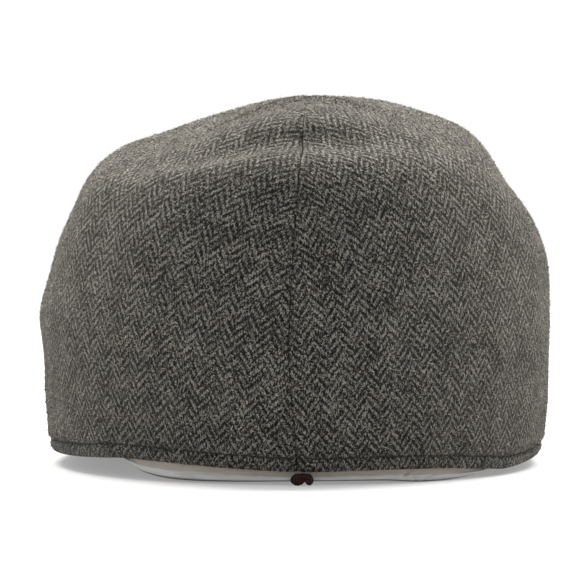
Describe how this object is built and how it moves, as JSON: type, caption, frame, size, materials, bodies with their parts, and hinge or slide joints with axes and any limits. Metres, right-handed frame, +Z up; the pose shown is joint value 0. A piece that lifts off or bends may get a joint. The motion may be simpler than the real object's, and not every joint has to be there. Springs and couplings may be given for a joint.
{
  "type": "flat cap",
  "caption": "Duckbill flat cap in grey herringbone wool: soft two-piece crown with a centre seam, arched peak under its front, inner sweatband and a small ribbon bow at the back.",
  "frame": {"origin": "middle of the cap's box, on the surface it rests on", "axes": "+X to the wearer's right, +Y to the front where the peak is, +Z up"},
  "size_m": [0.1804, 0.2628, 0.1299],
  "materials": {
    "wool": "brushed grey herringbone wool, fuzzy, matt",
    "peak_wool": "the same wool drawn tight over a stiff peak",
    "band_cloth": "pale grey satin band with a soft sheen",
    "ribbon": "dark brown grosgrain ribbon"
  },
  "bodies": {
    "root": {"crown_left": "wool", "crown_right": "wool", "peak": "peak_wool", "sweatband": "band_cloth", "sweatband_bow": "ribbon"}
  },
  "joints": []
}
